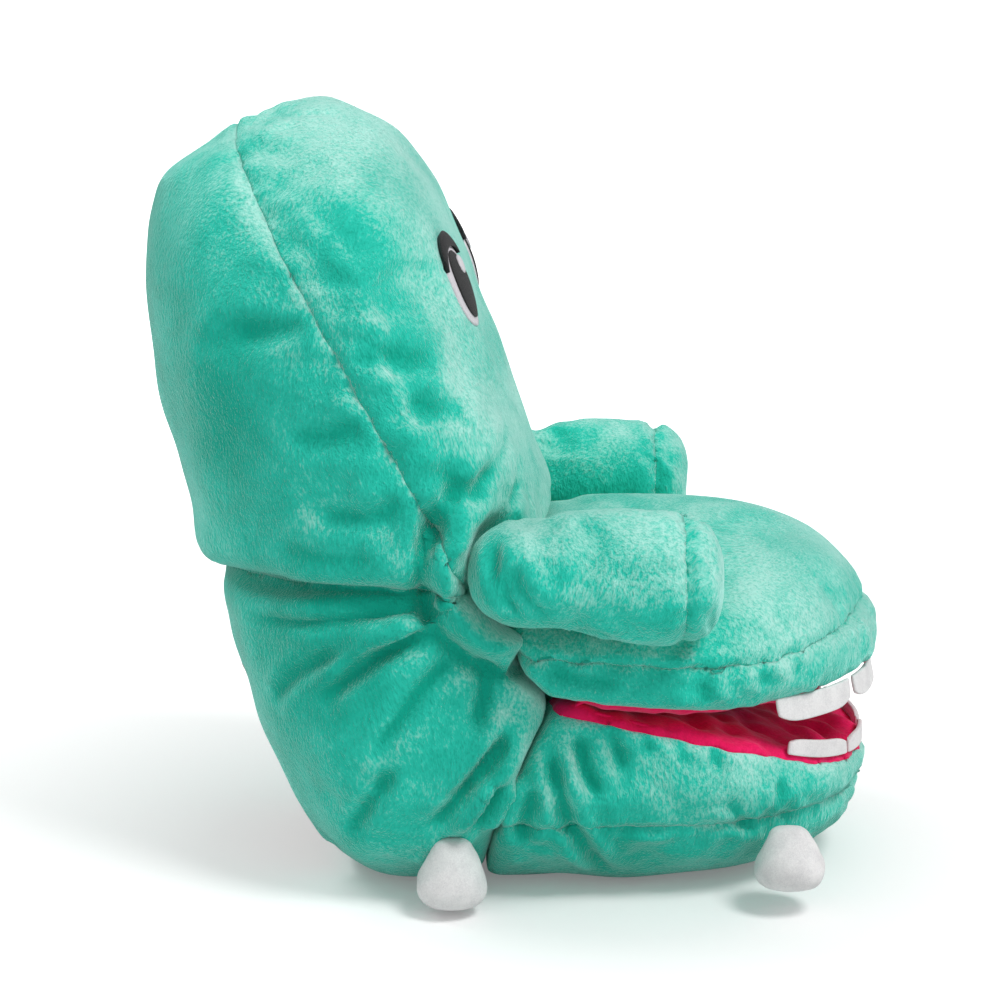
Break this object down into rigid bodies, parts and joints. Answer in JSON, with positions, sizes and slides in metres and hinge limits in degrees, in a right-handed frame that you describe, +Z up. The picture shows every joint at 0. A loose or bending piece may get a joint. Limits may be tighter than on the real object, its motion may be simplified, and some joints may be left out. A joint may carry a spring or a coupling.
{
  "type": "moving mouth hand puppet",
  "caption": "Plush chair-shaped hand puppet whose seat cushion is an upper jaw hinged over a lower jaw, with felt teeth, arms and feet.",
  "frame": {"origin": "on the surface the puppet stands on, under the middle of its outline", "axes": "+Z up, the puppet faces -Y, and it is mirrored about x = 0"},
  "size_m": [0.251, 0.309, 0.3238],
  "materials": {
    "mint_plush": "short pile plush",
    "mouth_pink": "short pile plush",
    "white_felt": "thick felt",
    "black_thread": "satin stitch embroidery",
    "white_thread": "satin stitch embroidery",
    "lining_cloth": "plain woven lining",
    "fibre_fill": "loose polyester filling",
    "mouth_board": "stiff sheet"
  },
  "bodies": {
    "base": {"torso_panel": "mint_plush", "torso_stuffing": "fibre_fill", "hand_sleeve": "lining_cloth", "lower_jaw_panel": "mint_plush", "bottom_panel": "mint_plush", "lower_jaw_stuffing": "fibre_fill", "thumb_pocket": "lining_cloth", "lower_mouth_board": "mouth_board", "lower_mouth_lining": "mouth_pink", "lower_tooth_1": "white_felt", "lower_tooth_2": "white_felt", "lower_tooth_3": "white_felt", "lower_tooth_4": "white_felt", "front_right_foot": "white_felt", "front_left_foot": "white_felt", "rear_right_foot": "white_felt", "rear_left_foot": "white_felt"},
    "backrest": {"face_panel": "mint_plush", "back_panel": "mint_plush", "pillow_stuffing": "fibre_fill", "right_eye_white": "white_thread", "right_eye_pupil": "black_thread", "right_eye_glint": "white_thread", "right_eyelid": "black_thread", "left_eye_white": "white_thread", "left_eye_pupil": "black_thread", "left_eye_glint": "white_thread", "left_eyelid": "black_thread"},
    "seat": {"seat_top_panel": "mint_plush", "seat_band": "mint_plush", "seat_stuffing": "fibre_fill", "finger_pocket": "lining_cloth", "upper_mouth_board": "mouth_board", "upper_mouth_lining": "mouth_pink", "upper_tooth_1": "white_felt", "upper_tooth_2": "white_felt", "upper_tooth_3": "white_felt", "upper_tooth_4": "white_felt"},
    "right_arm": {"right_arm_tube": "mint_plush", "right_arm_end": "mint_plush", "right_arm_stuffing": "fibre_fill"},
    "left_arm": {"left_arm_tube": "mint_plush", "left_arm_end": "mint_plush", "left_arm_stuffing": "fibre_fill"}
  },
  "joints": [
    {"name": "mouth_open", "type": "hinge", "parent": "base", "child": "seat", "pos_m": [0, -0.0285, 0.118], "axis": [-1, 0, 0], "range_deg": [-4, 25], "stiffness_Nm_per_rad": 0.8, "springref_deg": 3.44},
    {"name": "back_tilt", "type": "hinge", "parent": "base", "child": "backrest", "pos_m": [0, 0.026, 0.118], "axis": [-1, 0, 0], "range_deg": [-3, 8], "stiffness_Nm_per_rad": 3, "springref_deg": -2.29},
    {"name": "right_arm_lift", "type": "hinge", "parent": "base", "child": "right_arm", "pos_m": [-0.1, 0.0125, 0.142], "axis": [-1, 0, 0], "range_deg": [-3.5, 19]},
    {"name": "left_arm_lift", "type": "hinge", "parent": "base", "child": "left_arm", "pos_m": [0.1, 0.0125, 0.142], "axis": [-1, 0, 0], "range_deg": [-3.5, 19]}
  ],
  "couplings": [
    {"joint": "right_arm_lift", "follows": "mouth_open", "ratio": 0.75},
    {"joint": "left_arm_lift", "follows": "mouth_open", "ratio": 0.75}
  ]
}
